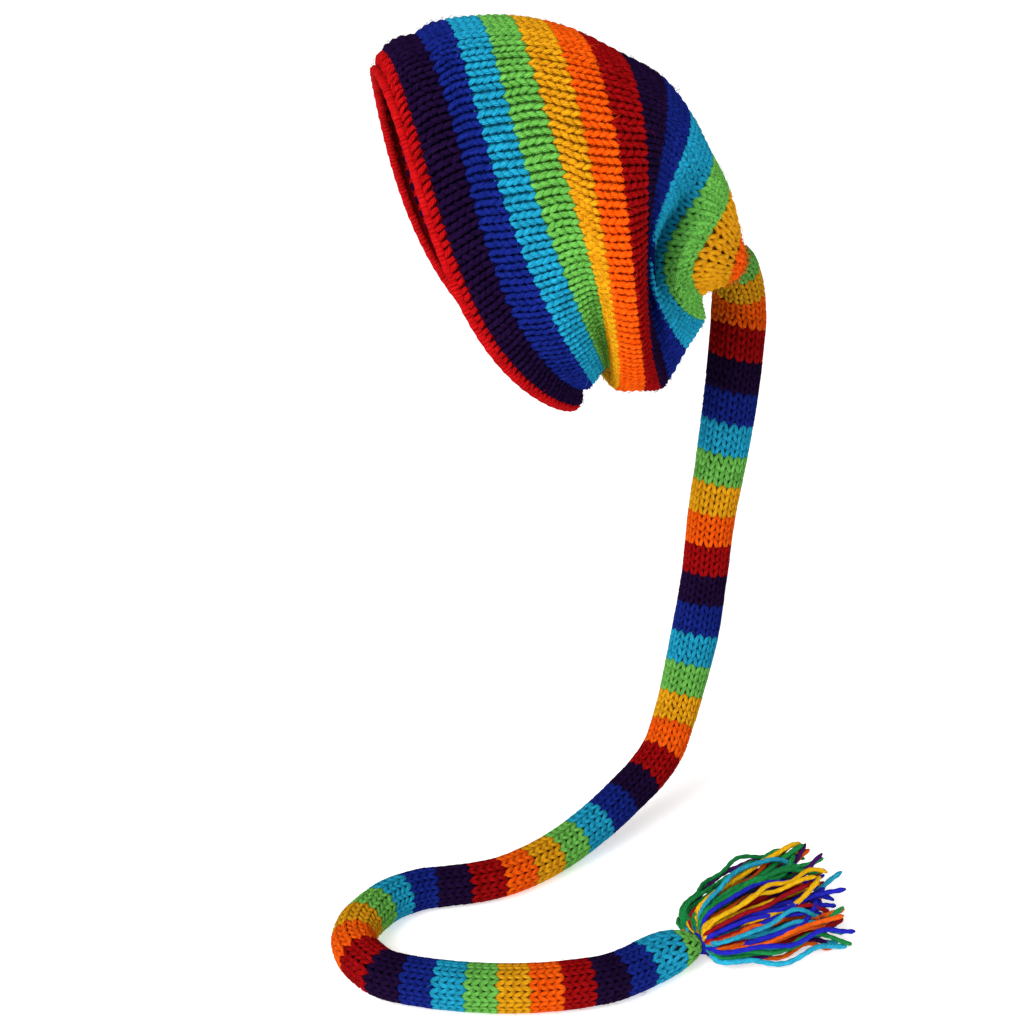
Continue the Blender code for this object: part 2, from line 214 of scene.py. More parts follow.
# The fine stray fibres: how many on the rim, on each stripe of the crown and on the tail, and their form.
RIM_FUZZ, CROWN_FUZZ, TAIL_FUZZ = 220, 260, 400
RIM_FUZZ_STRIPES = (0.05, 1)
FUZZ_LENGTHS = (0.0025, 0.0065)
TAIL_FUZZ_LENGTHS = (0.0025, 0.0042)
FUZZ_DEPTH = 0.0008       # of their roots under the outer face
FUZZ_RISE = (0.25, 0.9)   # how far they stand up, beside their lean
FUZZ_CURL = 0.4
FUZZ_ARCH = 1.9           # how far they go over their highest point, in radians
FUZZ_SHARES = (0.6, 0.5)  # of the rise and of the curl in a fibre's length
FUZZ_RADII = (0.00010, 0.00009, 0.00007, 0.00005)
FUZZ_TONES = (1.0, 2.2)

# The least height over the floor of yarn, of backing and of the middle of a tassel's yarn.
YARN_CLEARANCE = 0.0001
BACKING_CLEARANCE = 0.0004
STRAND_CLEARANCE = 0.0018

# The yarns of the tassel.
STRAND_POINTS = 100
STRAND_CLOSENESS = 1.15   # more than 1 sets its points closer near the tie
STRAND_RADII = (0.00128, 0.00152)
STRAND_TIP = (0.85, 0.55)   # girth of a yarn's last two points
STRAND_SIDES = 7
STRAND_UP = (0.05, 0.03, 1.0)   # a direction that no yarn follows, to count its sides from
STRAND_TONE_VARIES = 0.07
PLIES = 0.10              # how deep the grooves between its two plies are, as a share of its radius
PLY_LENGTH = 0.0062       # in this length the plies wind round once
BULGE = 0.008             # how far the yarns bulge back over the tie
BULGE_END = 0.26          # the share of a yarn's length in which it does
BULGE_SHARES = (0.45, 0.4)   # of an inner, low yarn, and what lying farther out and higher adds
SLACK = 1.1               # more than 1 draws a yarn's points toward the tie
LOCK_REST = 0.2           # share of a lock's width that it keeps over the floor
LOCK_SHARES = (0.16, 0.30, 0.10)   # its half width: at the tie, added at the middle and at the end
CORE_YARN = 0.6           # how far out a lock's first yarn lies, in yarns
LEAST_RISE = 0.03
OPENING_EASE = 0.11       # the yarns fan out sooner than the part's locks by this
PLACE_VARIES = 0.05       # a yarn's place in the fan and its rise
OPENING_VARIES = (-0.04, 0.06)
LENGTH_VARIES = (-0.10, 0.09)
BULGE_VARIES = (0.5, 1.1)
SWEEP_DEPTH = (0.0014, 0.0034)   # of the slow wave that all yarns of a lock share
SWEEP_BEATS = (0.9, 1.6)
WAVE_DEPTH = (0.0007, 0.0018)    # of each yarn's own wave
WAVE_BEATS = (1.3, 2.9)
NEXT_ANGLE = 2.4          # from one yarn of a lock to the next, in radians
WINDING = 1.6             # how far a yarn winds round its lock at most, in radians
FLICK = 0.005             # how far the ends turn aside
MOST_FLICK = 0.008
FLICK_START = 0.72        # the share of a yarn's length where that starts

# The three turns of yarn that tie the tassel: distance past the tie's middle, and radius.
TIE_TURNS = ((-0.0016, 0.0048), (0.0006, 0.0054), (0.0026, 0.0050))
TIE_YARN = 0.0015
TIE_TONE = 0.9

# Yarn colours, in the order in which they repeat from the rim.
YARNS = (
    ("red", (0.280, 0.0008, 0.0018)),
    ("purple", (0.0092, 0.0009, 0.0255)),
    ("blue", (0.0050, 0.0150, 0.185)),
    ("turquoise", (0.0110, 0.285, 0.450)),
    ("green", (0.128, 0.400, 0.068)),
    ("yellow", (0.700, 0.295, 0.005)),
    ("orange", (0.960, 0.098, 0.0012)),
)
TASSEL_YARNS = (
    ("ultramarine", (0.015, 0.017, 0.400)),
    ("gold", (0.760, 0.380, 0.006)),
    ("emerald", (0.010, 0.200, 0.050)),
    ("crimson", (0.240, 0.004, 0.009)),
    ("rust", (0.680, 0.095, 0.006)),
    ("sky", (0.018, 0.290, 0.430)),
    ("plum", (0.055, 0.005, 0.105)),
)

# The locks of the tassel, as in the part: place in the fan, rise and length, as shares of the tassel's half
# spread, height and length, and the yarns in each, one letter for the first of a colour's name.
LOCKS = (
    (-0.70, 0.18, 0.88, "seprsruec"),
    (-0.42, 0.20, 0.94, "srusrpespe"),
    (-0.08, 0.18, 0.92, "ercsupgrep"),
    (0.30, 0.20, 0.97, "rspcrueg"),
    (0.66, 0.18, 0.98, "epcsrgee"),
    (0.98, 0.24, 0.92, "cregsege"),
    (-0.56, 0.46, 0.88, "usrucsru"),
    (-0.24, 0.52, 0.98, "uuucusru"),
    (0.14, 0.50, 0.95, "uucruusc"),
    (0.50, 0.52, 1.00, "sspcsscp"),
    (0.84, 0.44, 0.92, "eppesege"),
    (-0.26, 0.78, 0.84, "ggcrgguu"),
    (0.12, 0.80, 0.92, "eepeepsc"),
    (0.48, 0.78, 0.94, "grcgeeer"),
)

# The look of the wool.
STRANDS = 7               # fine strands that wind round one yarn
STRAND_TURN = 0.017       # in this length they wind round it once
STREAK_STEPS = (1.6, 260)   # how fast the streaks change across the strands and along the yarn
STREAK_NOISE = (1.3, 3)   # scale and detail of each noise
FIBRE_NOISE = (1900, 3)
DYE_NOISE = (120, 2)
# How much of each part of the texture goes into the relief and into the mixing of the tints, which gives
# uneven dye and painted highlights along the streaks.
RELIEF = {"strands": 0.5, "streaks": 2.2, "fibres": 0.8}
DYE_AND_HIGHLIGHTS = {"strands": 0.10, "dye": 0.5, "fibres": 0.5, "streaks": 1.4}
RELIEF_STRENGTH = 0.8
RELIEF_DEPTH = 0.0005
DYE_AND_HIGHLIGHTS_SPAN = (0.85, 1.65)   # from the darker tint to the lighter one
DARK_TINT = (0.52, 0.40)         # share of a colour's channel, and how much more of a strong one
LIGHT_TINT = (1.75, 0.004)       # share of a colour's channel, and what is added to each; on the streaks it is a painted highlight
SHEEN_TINT = 0.03
ROUGHNESS = 0.95
SPECULAR = 0.03
SHEEN = 0.025
SHEEN_ROUGHNESS = 0.5

# The camera, beside the wearer, a little above and in front.
CAMERA_PLACE = (1.0191, -0.1730, 0.0927)
CAMERA_LOOK = (-0.92542, 0.16318, -0.34202)
CAMERA_SENSOR = 36
CAMERA_CLIP = 0.01
PICTURE_PIXELS = 1024
FOCAL_PIXELS = 1833.33    # focal length in pixels of the picture

# The lights and the floor.
KEY_PLACE = (1.0, -1.0, 1.5)
KEY_LOOK = (-0.80, 0.62, -0.84)
KEY_POWER = 2.6
KEY_ANGLE = 34            # degrees: it is broad, so its shadows are soft
KEY_COLOUR = (1.0, 0.99, 0.97)
# Soft boxes: name, place, what it points at, size, power and colour.
SOFT_BOXES = (
    ("front", (0.9, -1.0, 0.40), (0, 0.0, -0.12), 0.7, 9, (0.99, 0.99, 1.0)),
    ("side", (0.75, 0.95, 0.05), (0, 0.12, -0.12), 0.6, 3.6, (1.0, 1.0, 1.0)),
)
WHITE = (1, 1, 1, 1)
SURROUND_STRENGTH = 0.22
FLOOR_SIZE = 16
FLOOR_PAINT = (0.93, 0.93, 0.93, 1)
FLOOR_ROUGHNESS = 0.9
FLOOR_SPECULAR = 0.1
FLOOR_GLOW = 0.50         # so that the floor is as white as the surround


def unit(vectors):
    """Vectors of length 1 in the same directions."""
    return vectors / np.linalg.norm(vectors, axis=-1, keepdims=True)


def distances(line):
    """How far along a line each of its points lies."""
    return np.concatenate(((0,), np.cumsum(np.linalg.norm(np.diff(line, axis=0), axis=1))))


def value_at(table, place):
    """The second column of a table, read between its rows at a place in the first."""
    return np.interp(place, [row[0] for row in table], [row[1] for row in table])


def smooth_through(rows, place):
    """A smooth curve through the rows of a table, read at a place counted in rows."""
    last = len(rows) - 1
    row = min(max(int(place), 0), last - 1)
    part = place - row
    before = rows[max(row - 1, 0)]
    start = rows[row]
    end = rows[row + 1]
    after = rows[min(row + 2, last)]
    return 0.5 * (2 * start + (end - before) * part
                  + (2 * before - 5 * start + 4 * end - after) * part ** 2
                  + (3 * start - before - 3 * end + after) * part ** 3)


def fabric_ring(stripe, angles):
    """The points of the crown's outer face all round one row, at angles counted from the top."""
    row = dict(zip(ROW_COLUMNS, smooth_through(ROWS, stripe)))
    top = np.array((row["top_y"] * CROWN_REACH, row["top_z"] * CROWN_DROP))
    bottom = np.array((row["bottom_y"] * CROWN_REACH, row["bottom_z"] * CROWN_DROP))
    middle = (top + bottom) / 2
    reach = (top - bottom) / 2
    groove = GROOVE_DEPTH * np.exp(-((stripe - GROOVE_STRIPE) / GROOVE_SPAN) ** 2)
    reach = reach * (1 - groove / np.hypot(*reach))
    backward = np.array((-reach[1], reach[0])) / np.hypot(*reach)
    if backward[0] < 0:
        backward = -backward
    share = np.abs((angles + pi) % (2 * pi) - pi) / pi
    swing = np.sin(pi * share ** (log(0.5) / log(row["bow_at"] / 180))) ** 2
    bow = row["bow"] * BOW_DEPTH * swing
    y = middle[0] + np.cos(angles) * reach[0] + bow * backward[0]
    z = middle[1] + np.cos(angles) * reach[1] + bow * backward[1]
    sideways = np.abs(np.sin(angles))
    tuck = row["tuck"] * FOLD_DEPTH * np.exp(-((share * 180 - row["tuck_at"]) / row["tuck_span"]) ** 2)
    crease = (CREASE_DEPTH * np.exp(-((stripe - CREASE_STRIPE) / CREASE_SPAN) ** 2)
              * np.exp(-((share * 180 - CREASE_AT) / CREASE_REACH) ** 2))
    half = row["half"] * CROWN_WIDTH / 2 * sideways ** ROW_FULLNESS - (tuck + groove + crease) * sideways
    aside = np.where(np.sin(angles) >= 0, half, -half)
    turn = radians(row["turn"])
    shift = row["shift"] * CROWN_WIDTH / 2
    return np.stack((shift + aside * cos(turn), y + aside * sin(turn), z), axis=1)


class Fabric:
    """A knitted tube as a fine net of points and outward directions, read by stripe and share round."""

    def __init__(self, stripes, points, outward):
        self.stripes = stripes
        self.points = points
        self.outward = unit(outward)

    def read(self, net, stripe, around):
        """Values of a net at arrays of stripe places and shares round, straight between its points."""
        rings, sides = net.shape[:2]
        step = (stripe - self.stripes[0]) / (self.stripes[1] - self.stripes[0])
        step = np.clip(step, 0, rings - 1.0001)   # just short of the last ring, so that one lies ahead
        ring = step.astype(int)
        part = (step - ring)[..., None]
        turn = (around % 1.0) * sides
        side = turn.astype(int) % sides
        beside = (side + 1) % sides
        lean = (turn - turn.astype(int))[..., None]
        here = net[ring, side] * (1 - lean) + net[ring, beside] * lean
        there = net[ring + 1, side] * (1 - lean) + net[ring + 1, beside] * lean
        return here * (1 - part) + there * part

    def place(self, stripe, around, height):
        """Points at a height above the net, and the outward directions there."""
        outward = unit(self.read(self.outward, stripe, around))
        return self.read(self.points, stripe, around) + outward * height[..., None], outward

    def girth(self, stripe, sides=64):
        """How far it is round the row at this stripe place."""
        ring, _ = self.place(np.full(sides, float(stripe)), np.arange(sides) / sides, np.zeros(sides))
        return np.linalg.norm(ring - np.roll(ring, 1, axis=0), axis=1).sum()

    def openness(self, stripe):
        """1 where the tube is open, less where it closes at the tail's end and nothing may lie deep."""
        return min(1.0, self.girth(stripe) / (2 * pi) / CLOSING_RADIUS)


def crown_fabric(sides=432, rings_per_stripe=32, ring_points=1441):
    """The crown and rim as one net, its columns spaced evenly along each row."""
    stripes = np.arange(0, LAST_STRIPE * rings_per_stripe + 1) / rings_per_stripe
    angles = np.linspace(0, 2 * pi, ring_points)
    shares = np.arange(sides) / sides
    rings = []
    for stripe in stripes:
        ring = fabric_ring(min(stripe, LAST_STRIPE - 1e-6), angles)
        travelled = distances(ring)
        travelled /= travelled[-1]
        places = shares + value_at(WALE_SAG, stripe) * np.sin(2 * pi * shares)
        rings.append(np.stack([np.interp(places, travelled, ring[:, axis]) for axis in range(3)], axis=1))
    points = np.array(rings)
    along = np.gradient(points, axis=0)
    around = np.roll(points, -1, axis=1) - np.roll(points, 1, axis=1)
    return Fabric(stripes, points, np.cross(around, along))


def tail_line(count=1600):
    """The tail's middle line from inside the mouth to its closing end, its radius and distance along it."""
    end, before = TAIL_ROUTE[-1], TAIL_ROUTE[-2]
    onward = unit(end[:3] - before[:3])
    gather = [np.append(end[:3] + onward * distance, girth) for distance, girth in TAIL_GATHER]
    route = np.concatenate((TAIL_ROUTE, gather))
    last = len(route) - 1
    rows = np.array([smooth_through(route, last * step / (count - 1)) for step in range(count)])
    start = rows[0, :3] - TUCK * unit(rows[1, :3] - rows[0, :3])
    rows = np.concatenate(([np.append(start, rows[0, 3] * TUCK_SHARE)], rows))
    return rows[:, :3], rows[:, 3] * TAIL_WIDTH / 2, distances(rows[:, :3]) - TUCK


def carried_spokes(onward):
    """Sideways directions that are carried along a line without twisting."""
    spokes = np.empty_like(onward)
    spoke = np.array((1.0, 0.0, 0.0))
    for number, facing in enumerate(onward):
        spoke = unit(spoke - facing * spoke.dot(facing))
        spokes[number] = spoke
    return spokes


def tail_fabric(sides=112, rings_per_stripe=16):
    """The tail as one net, whose rows sag a little at the back."""
    line, radius, travelled = tail_line()
    edge_stripes, edge_places = np.array(TAIL_EDGES).T
    last = np.interp(travelled[-1], edge_places, edge_stripes)
    stripes = np.arange(edge_stripes[0], last, 1 / rings_per_stripe)
    angles = 2 * pi * np.arange(sides) / sides
    onward = unit(np.gradient(line, axis=0))
    spokes = carried_spokes(onward)
    backs = np.cross(onward, spokes)
    rings, outs = [], []
    for stripe in stripes:
        here = int(np.searchsorted(travelled, value_at(TAIL_EDGES, stripe)).clip(0, len(line) - 1))
        toward_back = np.cos(angles) * spokes[here, 1] + np.sin(angles) * backs[here, 1]
        sagging = stripe + value_at(TAIL_SKEW, stripe) * toward_back
        place = np.clip(value_at(TAIL_EDGES, sagging), travelled[0], travelled[-1])
        middle, spoke, back = (np.stack([np.interp(place, travelled, values[:, axis]) for axis in range(3)],
                                        axis=1) for values in (line, spokes, backs))
        out = np.cos(angles)[:, None] * spoke + np.sin(angles)[:, None] * back
        rings.append(middle + out * np.interp(place, travelled, radius)[:, None])
        outs.append(out)
    return Fabric(stripes, np.array(rings), np.array(outs))


def face_corners(*corners):
    """Rows of three corners, from three arrays of them."""
    return np.stack(corners, axis=-1).reshape(-1, 3)


def tube_faces(stations, sides, closed):
    """The faces of one tube, and the station and the share round of each of their corners."""
    number = np.arange(stations * sides).reshape(stations, sides)
    beside = np.roll(number, -1, axis=1)
    ahead = np.roll(number, -1, axis=0) if closed else number[1:]
    ahead_beside = np.roll(beside, -1, axis=0) if closed else beside[1:]
    number, beside = number[:len(ahead)], beside[:len(ahead)]
    station = np.broadcast_to(np.arange(len(ahead))[:, None], ahead.shape)
    turn = np.broadcast_to(np.arange(sides) / sides, ahead.shape)
    next_station, next_turn = station + 1, turn + 1 / sides
    faces = [face_corners(number, ahead, ahead_beside), face_corners(number, ahead_beside, beside)]
    stations_at = [face_corners(station, next_station, next_station),
                   face_corners(station, next_station, station)]
    turns_at = [face_corners(turn, turn, next_turn), face_corners(turn, next_turn, next_turn)]
    if not closed:
        tip = stations * sides
        first = np.arange(sides)
        last = first + tip - sides
        faces.append(face_corners(np.full(sides, tip), first, np.roll(first, -1)))
        faces.append(face_corners(np.full(sides, tip + 1), np.roll(last, -1), last))
        for end_station in (0, stations - 1):
            stations_at.append(np.full((sides, 3), end_station))
            turns_at.append(np.repeat(first[:, None] / sides, 3, axis=1))
    return np.concatenate(faces), np.concatenate(stations_at), np.concatenate(turns_at)


def tube_part(centres, outward, radii, sides, closed, material, tones, plies=0.0, ply_length=0.005,
              tip_share=0.7):
    """Yarns as tubes along their centres: closed ones join their ends, the others have round tips."""
    yarns, stations = centres.shape[:2]
    if closed:
        onward = unit(np.roll(centres, -1, axis=1) - np.roll(centres, 1, axis=1))
        following = np.roll(centres, -1, axis=1)
    else:
        onward = unit(np.gradient(centres, axis=1))
        following = centres[:, 1:]
    across = unit(np.cross(outward, onward))
    upward = np.cross(onward, across)
    steps = np.linalg.norm(following - centres[:, :following.shape[1]], axis=-1)
    travelled = np.concatenate((np.zeros((yarns, 1)), np.cumsum(steps, axis=1)), axis=1)
    angles = 2 * pi * np.arange(sides) / sides
    ring = np.cos(angles)[:, None] * upward[:, :, None, :] + np.sin(angles)[:, None] * across[:, :, None, :]
    swell = 1 + plies * np.cos(2 * angles - 2 * pi * travelled[:, :stations, None] / ply_length)
    points = centres[:, :, None, :] + ring * (radii[:, :, None] * swell)[..., None]
    points = points.reshape(yarns, stations * sides, 3)
    if not closed:
        tips = np.concatenate((centres[:, :1] - onward[:, :1] * radii[:, :1, None] * tip_share,
                               centres[:, -1:] + onward[:, -1:] * radii[:, -1:, None] * tip_share), axis=1)
        points = np.concatenate((points, tips), axis=1)
    points[..., 2] = np.maximum(points[..., 2], FLOOR + YARN_CLEARANCE)
    faces, stations_at, turns_at = tube_faces(stations, sides, closed)
    places = np.empty((yarns,) + faces.shape + (2,))
    places[..., 0] = travelled[:, stations_at]
    places[..., 1] = turns_at
    size = points.shape[1]
    blocks = faces[None] + np.arange(yarns)[:, None, None] * size
    tones = np.broadcast_to(np.asarray(tones, dtype=float).reshape(-1, 1), (yarns, size))
    materials = np.repeat(np.broadcast_to(np.asarray(material), (yarns,)), len(faces))
    return {"points": points.reshape(-1, 3), "faces": blocks.reshape(-1, 3), "material": materials,
            "places": places.reshape(-1, 3, 2), "tones": tones.reshape(-1)}


def mesh_piece(name, parts, materials):
    """One piece of several joined parts."""
    starts = np.cumsum([0] + [len(part["points"]) for part in parts[:-1]])
    points = np.concatenate([part["points"] for part in parts])
    faces = np.concatenate([part["faces"] + start for part, start in zip(parts, starts)])
    numbers = np.concatenate([np.broadcast_to(part["material"], len(part["faces"])) for part in parts])
    places = np.concatenate([part["places"] for part in parts])
    tones = np.concatenate([part["tones"] for part in parts])
    mesh = bpy.data.meshes.new(name)
    mesh.vertices.add(len(points))
    mesh.vertices.foreach_set("co", points.astype(np.float32).ravel())
    mesh.loops.add(faces.size)
    mesh.loops.foreach_set("vertex_index", faces.astype(np.int32).ravel())
    mesh.polygons.add(len(faces))
    mesh.polygons.foreach_set("loop_start", np.arange(0, faces.size, 3, dtype=np.int32))
    mesh.polygons.foreach_set("material_index", numbers.astype(np.int32))
    mesh.polygons.foreach_set("use_smooth", np.full(len(faces), True))
    winding = mesh.uv_layers.new(name="yarn_place")
    winding.data.foreach_set("uv", places.astype(np.float32).ravel())
    # random tone per yarn, with painted shade on the tail and backing and painted light on the rim
    tone = mesh.attributes.new("yarn_tone_and_painted_shading", "FLOAT", "POINT")
    tone.data.foreach_set("value", tones.astype(np.float32))
    mesh.update(calc_edges=True)
    mesh.validate()
    piece = bpy.data.objects.new(name, mesh)
    bpy.context.collection.objects.link(piece)
    for material in materials:
        mesh.materials.append(material)
    return piece


def ridge_share(stripe, around):
    """1 on the sharp ridge beside the crease, 0 away from it."""
    degrees = np.abs((around + 0.5) % 1.0 - 0.5) * 360
    return (np.exp(-((stripe - RIDGE_STRIPE) / RIDGE_SPAN) ** 2)
            * np.exp(-((degrees - RIDGE_AT) / RIDGE_REACH) ** 2))


def knit_row(fabric, centre, wales, yarn, rows, reach=LOOP_REACH, tone=1.0, lean=1.0, stations=12, sides=5):
    """One row of the crown: a single yarn that loops forward and back all the way round."""
    turn = 2 * pi * np.arange(wales * stations) / stations
    wale = np.arange(wales * stations) // stations
    lean = lean * np.interp(centre, CONE_STRIPES, (LOOP_SWAY, CONE_SWAY))
    sway = lean * (1 + CHANCE.normal(0, SWAY_VARIES, wales))[wale]
    wander = CHANCE.normal(0, HEAD_WANDERS, wales)[wale]
    reach = reach * (1 + CHANCE.normal(0, REACH_VARIES, wales))[wale]
    across = turn / (2 * pi) + sway * np.sin(2 * turn) + wander * np.sin(turn / 2) ** 2
    leg = min(YARN_RADIUS, fabric.girth(centre) / wales * YARN_CROWDING)
    thinning = 1 - RIDGE_THINNING * ridge_share(centre, across / wales)
    lift = (-LOOP_LIFT * np.cos(2 * turn) - LOOP_LIFT - leg) * thinning
    place = centre + reach * np.cos(turn) / rows
    centres, outward = fabric.place(place, across / wales, lift)
    slim = 1 - HEAD_SLIMNESS * (1 + np.cos(2 * turn)) / 2
    radii = leg * slim * (1 + CHANCE.normal(0, GIRTH_VARIES, wales))[wale]
    tone = tone * (1 + CHANCE.normal(0, ROW_TONE_VARIES))
    return tube_part(centres[None], outward[None], radii[None], sides, True, yarn, tone)


def knit_band(fabric, stripes):
    """All the rows of some stripes of the crown."""
    parts = []
    for stripe in stripes:
        wales = min(MOST_WALES, round(fabric.girth(stripe + 0.5) / STITCH_WIDTH))
        rows = CREASE_ROWS if stripe in CREASE_STRIPES else STRIPE_ROWS
        for row in range(rows):
            parts.append(knit_row(fabric, stripe + (row + 0.5) / rows, wales, stripe % len(YARNS), rows))
    return parts


def rolled_edge(fabric, sides=8):
    """The rim's rolled edge, which swells with each stitch."""
    stations = RIM_STATIONS * MOST_WALES
    around = np.arange(stations) / stations
    depth = np.full(stations, -RIM_EDGE)
    edge, outward = fabric.place(np.zeros(stations), around, depth)
    inside, _ = fabric.place(np.full(stations, RIM_INWARD), around, depth)
    centres = edge + unit(inside - edge) * RIM_EDGE
    beat = 2 * pi * MOST_WALES * around
    radii = RIM_EDGE * (1 + RIM_BUMPS[0] * np.cos(beat) + RIM_BUMPS[1] * np.cos(2 * beat + 1))
    # painted light on the rolled edge, as on the rim's row
    edge_roll = tube_part(centres[None], outward[None], radii[None], sides, True, 0, RIM_PAINTED_LIGHT)
    edge_roll["places"][..., 1] = 0
    return edge_roll


def rim_parts(fabric):
    """The rim: one long row of stitches beside a rolled edge."""
    # painted light: the rim's row is painted lighter than the other red rows
    row = knit_row(fabric, RIM_ROW, MOST_WALES, 0, STRIPE_ROWS, RIM_REACH, RIM_PAINTED_LIGHT, RIM_LEAN)
    return [row, rolled_edge(fabric), fuzz_part(fabric, *RIM_FUZZ_STRIPES, RIM_FUZZ)]


def grain_part(fabric, centre, yarn, sides=5):
    """One row of the tail: the two plump legs of each stitch, each a grain with rounded tips."""
    wales = round(fabric.girth(centre) / TAIL_STITCH_WIDTH)
    stations, swell = np.array(GRAIN).T
    stations = stations * pi
    wale = np.repeat(np.arange(wales), 2)
    mirrored = np.tile((False, True), wales)
    turn = np.where(mirrored[:, None], 2 * pi - stations, stations)
    sway = value_at(TAIL_SWAY, centre) * (1 + CHANCE.normal(0, SWAY_VARIES, 2 * wales))[:, None]
    aside = GRAIN_ASIDE + sway * np.cos(turn)
    across = wale[:, None] + np.where(mirrored[:, None], 1 - aside, aside)
    reach = TAIL_REACH * (1 + CHANCE.normal(0, REACH_VARIES, 2 * wales))[:, None]
    leg = min(YARN_RADIUS, fabric.girth(centre) / wales * TAIL_CROWDING)
    lift = (-TAIL_LIFT * np.cos(2 * turn) - TAIL_LIFT - leg) * fabric.openness(centre)
    place = centre + reach * np.cos(turn) / STRIPE_ROWS
    centres, outward = fabric.place(place, across / wales, lift)
    radii = leg * swell * (1 + CHANCE.normal(0, GIRTH_VARIES, 2 * wales))[:, None]
    row_varies = CHANCE.normal(0, ROW_TONE_VARIES)
    # painted shade: the tail's yarn is painted darker by stripe, most where the crown shades it
    tones = value_at(TAIL_PAINTED_SHADES, centre) * (1 + row_varies + CHANCE.normal(0, LEG_TONE_VARIES, 2 * wales))
    return tube_part(centres, outward, radii, sides, False, yarn, tones)


def backing_part(fabric, first, last, depths, tone, sides=120, rings_per_stripe=6):
    """A thin closed wall under the stitches, in the colours of its stripes, darkened by its tone as painted
    shade in the gaps.
    """
    count = int(round((last - first) * rings_per_stripe))
    stripes = first + np.arange(count + 1) * (last - first) / count
    around = np.arange(sides) / sides
    profile = [(stripe, depths[0]) for stripe in stripes] + [(stripe, depths[1]) for stripe in stripes[::-1]]
    rings = []
    for stripe, depth in profile:
        inward = np.full(sides, -depth * fabric.openness(stripe))
        ring, _ = fabric.place(np.full(sides, stripe), around, inward)
        rings.append(ring)
    points = np.array(rings)
    points[..., 2] = np.maximum(points[..., 2], FLOOR + BACKING_CLEARANCE)
    number = np.arange(points.shape[0] * sides).reshape(points.shape[0], sides)
    ahead = np.roll(number, -1, axis=0)
    beside, ahead_beside = np.roll(number, -1, axis=1), np.roll(ahead, -1, axis=1)
    faces = np.concatenate((face_corners(number, beside, ahead_beside),
                            face_corners(number, ahead_beside, ahead)))
    corners = points.reshape(-1, 3)[faces]
    if np.einsum("ij,ij->", corners[:, 0], np.cross(corners[:, 1], corners[:, 2])) < 0:
        faces = faces[:, ::-1]
    edge_stripe = np.array([stripe for stripe, _ in profile])
    middle = (edge_stripe + np.roll(edge_stripe, -1)) / 2
    material = np.tile(np.repeat(np.floor(middle).astype(int) % len(YARNS), sides), 2)
    return {"points": points.reshape(-1, 3), "faces": faces, "material": material,
            # painted shade: the wall's tone darkens it well below the yarn's colour
            "places": np.zeros(faces.shape + (2,)), "tones": np.full(points.shape[0] * sides, tone)}


def fuzz_part(fabric, first, last, count, lengths=FUZZ_LENGTHS, sides=3):
    """Fine stray fibres that stand off the stitches."""
    stripe = CHANCE.uniform(first, last, count)
    around = CHANCE.uniform(0, 1, count)
    root, outward = fabric.place(stripe, around, np.full(count, -FUZZ_DEPTH))
    lean = CHANCE.normal(0, 1, (count, 3))
    lean = unit(lean - outward * (lean * outward).sum(axis=1, keepdims=True))
    length = CHANCE.uniform(*lengths, count)[:, None]
    rise = CHANCE.uniform(*FUZZ_RISE, count)[:, None]
    curl = CHANCE.uniform(-FUZZ_CURL, FUZZ_CURL, (count, 3))
    rise_share, curl_share = FUZZ_SHARES
    points = []
    for part in np.linspace(0, 1, len(FUZZ_RADII)):
        bend = outward * rise * np.sin(part * FUZZ_ARCH) * rise_share + curl * part * part * curl_share
        points.append(root + length * (lean * part + bend))
    centres = np.stack(points, axis=1)
    sideways = np.cross(lean, outward)[:, None, :] + np.zeros_like(centres)
    radii = np.array(FUZZ_RADII) * np.ones((count, 1))
    tones = CHANCE.uniform(*FUZZ_TONES, count)
    return tube_part(centres, sideways, radii, sides, False, np.floor(stripe).astype(int) % len(YARNS), tones)


class NodeChart:
    """Short ways to add nodes to a material."""

    def __init__(self, material):
        self.nodes = material.node_tree.nodes
        self.links = material.node_tree.links

    def add(self, kind, **inputs):
        """A new node with some of its inputs set, by their names with _ for a space."""
        node = self.nodes.new(kind)
        for name, value in inputs.items():
            node.inputs[name.replace("_", " ")].default_value = value
        return node

    def sum_of(self, first, factor, second=None):
        """One value times a factor, plus another."""
        node = self.nodes.new("ShaderNodeMath")
        node.operation = "MULTIPLY_ADD"
        node.inputs[1].default_value = factor
        self.links.new(first, node.inputs[0])
        if second is None:
            node.inputs[2].default_value = 0
        else:
            self.links.new(second, node.inputs[2])
        return node.outputs[0]

    def noise(self, vector, scale, detail):
        """A soft noise read at a vector."""
        node = self.add("ShaderNodeTexNoise", Scale=scale, Detail=detail)
        self.links.new(vector, node.inputs["Vector"])
        return node.outputs["Fac"]


def wool_texture(chart):
    """The parts of a wool's texture: its wound strands, the streaks along them, its fibres and its dye."""
    place = chart.nodes.new("ShaderNodeUVMap")
    place.uv_map = "yarn_place"
    split = chart.nodes.new("ShaderNodeSeparateXYZ")
    chart.links.new(place.outputs["UV"], split.inputs[0])
    along, round_yarn = split.outputs["X"], split.outputs["Y"]
    strand = chart.sum_of(along, -STRANDS / STRAND_TURN, chart.sum_of(round_yarn, STRANDS))
    wave = chart.nodes.new("ShaderNodeMath")
    wave.operation = "SINE"
    chart.links.new(chart.sum_of(strand, 2 * pi), wave.inputs[0])
    streak = chart.nodes.new("ShaderNodeCombineXYZ")
    chart.links.new(chart.sum_of(strand, STREAK_STEPS[0]), streak.inputs["X"])
    chart.links.new(chart.sum_of(along, STREAK_STEPS[1]), streak.inputs["Y"])
    spot = chart.nodes.new("ShaderNodeTexCoord").outputs["Object"]
    return {"strands": wave.outputs[0], "streaks": chart.noise(streak.outputs[0], *STREAK_NOISE),
            "fibres": chart.noise(spot, *FIBRE_NOISE), "dye": chart.noise(spot, *DYE_NOISE)}


def blend_of(chart, texture, shares):
    """The sum of some parts of the texture, each times its share."""
    total = None
    for name, share in shares.items():
        total = chart.sum_of(texture[name], share, total)
    return total


